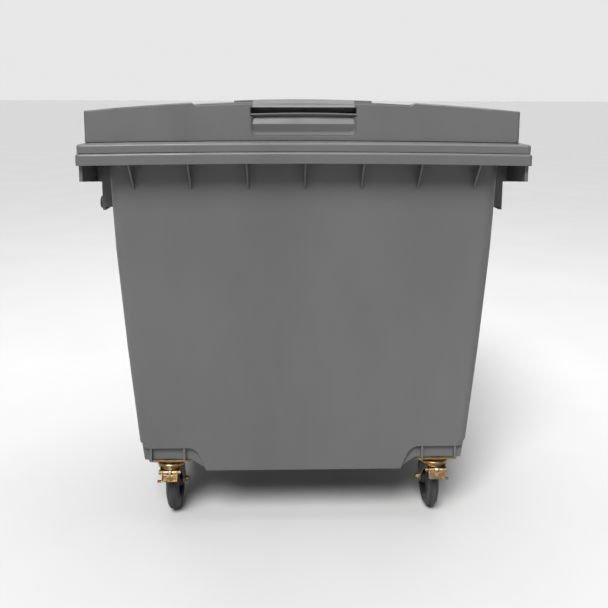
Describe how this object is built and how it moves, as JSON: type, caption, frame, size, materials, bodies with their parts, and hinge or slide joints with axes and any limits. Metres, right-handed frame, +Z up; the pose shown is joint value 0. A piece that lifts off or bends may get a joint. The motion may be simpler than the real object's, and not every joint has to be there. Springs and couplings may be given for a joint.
{
  "type": "wheeled refuse container",
  "caption": "Large wheeled refuse container with a tapered tub, a hinged raised lid with a front grip, rear handles and swivel castors with foot brakes.",
  "frame": {"origin": "on the ground under the middle of the container's bounding box", "axes": "+Z up, front at -Y where the grip is, +X to the right seen from the front"},
  "size_m": [1.37, 1.07, 1.4289],
  "materials": {
    "body_plastic": "fine moulded texture",
    "lid_plastic": "fine moulded texture",
    "handle_plastic": "fine moulded texture",
    "zinc_plate": "bright zinc plated",
    "yellow_zinc": "yellow zinc plated",
    "bearing_steel": "plain",
    "seal_rubber": "matte",
    "core_plastic": "moulded",
    "tyre": "matte"
  },
  "bodies": {
    "container": {"container_body": "body_plastic", "rear_handle_left": "handle_plastic", "rear_handle_right": "handle_plastic", "rear_handle_screws": "zinc_plate", "drain_plug": "handle_plastic", "drain_seal": "seal_rubber", "trunnion_cap_left": "handle_plastic", "trunnion_cap_right": "handle_plastic", "hinge_pins": "zinc_plate", "hinge_pin_clips": "zinc_plate", "castor_plate_bolts": "zinc_plate", "castor_plate_washers": "zinc_plate", "castor_plate_nuts": "zinc_plate", "front_left_plate": "yellow_zinc", "front_left_kingpin": "yellow_zinc", "front_left_ball_race": "bearing_steel", "front_right_plate": "yellow_zinc", "front_right_kingpin": "yellow_zinc", "front_right_ball_race": "bearing_steel", "rear_left_plate": "yellow_zinc", "rear_left_kingpin": "yellow_zinc", "rear_left_ball_race": "bearing_steel", "rear_right_plate": "yellow_zinc", "rear_right_kingpin": "yellow_zinc", "rear_right_ball_race": "bearing_steel"},
    "lid": {"lid": "lid_plastic", "lid_grip_insert": "lid_plastic"},
    "front_left_swivel": {"front_left_fork": "yellow_zinc", "front_left_axle_bolt": "yellow_zinc", "front_left_axle_nut": "yellow_zinc", "front_left_bush": "bearing_steel", "front_left_brake_pivot_pin": "yellow_zinc", "front_left_brake_spring": "bearing_steel"},
    "front_left_wheel": {"front_left_wheel_core": "core_plastic", "front_left_tyre": "tyre"},
    "front_left_brake": {"front_left_brake_pedal": "yellow_zinc"},
    "front_right_swivel": {"front_right_fork": "yellow_zinc", "front_right_axle_bolt": "yellow_zinc", "front_right_axle_nut": "yellow_zinc", "front_right_bush": "bearing_steel", "front_right_brake_pivot_pin": "yellow_zinc", "front_right_brake_spring": "bearing_steel"},
    "front_right_wheel": {"front_right_wheel_core": "core_plastic", "front_right_tyre": "tyre"},
    "front_right_brake": {"front_right_brake_pedal": "yellow_zinc"},
    "rear_left_swivel": {"rear_left_fork": "yellow_zinc", "rear_left_axle_bolt": "yellow_zinc", "rear_left_axle_nut": "yellow_zinc", "rear_left_bush": "bearing_steel"},
    "rear_left_wheel": {"rear_left_wheel_core": "core_plastic", "rear_left_tyre": "tyre"},
    "rear_right_swivel": {"rear_right_fork": "yellow_zinc", "rear_right_axle_bolt": "yellow_zinc", "rear_right_axle_nut": "yellow_zinc", "rear_right_bush": "bearing_steel"},
    "rear_right_wheel": {"rear_right_wheel_core": "core_plastic", "rear_right_tyre": "tyre"}
  },
  "joints": [
    {"name": "lid_hinge", "type": "hinge", "parent": "container", "child": "lid", "pos_m": [0, 0.497, 1.275], "axis": [-1, 0, 0], "range_deg": [0, 225]},
    {"name": "front_left_swivel", "type": "hinge", "parent": "container", "child": "front_left_swivel", "pos_m": [-0.449, -0.352, 0.216], "axis": [0, 0, 1], "continuous": true},
    {"name": "front_left_wheel_spin", "type": "hinge", "parent": "front_left_swivel", "child": "front_left_wheel", "pos_m": [-0.449, -0.278, 0.1], "axis": [1, 0, 0], "continuous": true},
    {"name": "front_left_brake_press", "type": "hinge", "parent": "front_left_swivel", "child": "front_left_brake", "pos_m": [-0.449, -0.404, 0.19], "axis": [1, 0, 0], "range_deg": [0, 6], "stiffness_Nm_per_rad": 1.5},
    {"name": "front_right_swivel", "type": "hinge", "parent": "container", "child": "front_right_swivel", "pos_m": [0.449, -0.352, 0.216], "axis": [0, 0, 1], "continuous": true},
    {"name": "front_right_wheel_spin", "type": "hinge", "parent": "front_right_swivel", "child": "front_right_wheel", "pos_m": [0.449, -0.278, 0.1], "axis": [1, 0, 0], "continuous": true},
    {"name": "front_right_brake_press", "type": "hinge", "parent": "front_right_swivel", "child": "front_right_brake", "pos_m": [0.449, -0.404, 0.19], "axis": [1, 0, 0], "range_deg": [0, 6], "stiffness_Nm_per_rad": 1.5},
    {"name": "rear_left_swivel", "type": "hinge", "parent": "container", "child": "rear_left_swivel", "pos_m": [-0.449, 0.27, 0.216], "axis": [0, 0, 1], "continuous": true},
    {"name": "rear_left_wheel_spin", "type": "hinge", "parent": "rear_left_swivel", "child": "rear_left_wheel", "pos_m": [-0.449, 0.344, 0.1], "axis": [1, 0, 0], "continuous": true},
    {"name": "rear_right_swivel", "type": "hinge", "parent": "container", "child": "rear_right_swivel", "pos_m": [0.449, 0.27, 0.216], "axis": [0, 0, 1], "continuous": true},
    {"name": "rear_right_wheel_spin", "type": "hinge", "parent": "rear_right_swivel", "child": "rear_right_wheel", "pos_m": [0.449, 0.344, 0.1], "axis": [1, 0, 0], "continuous": true}
  ]
}
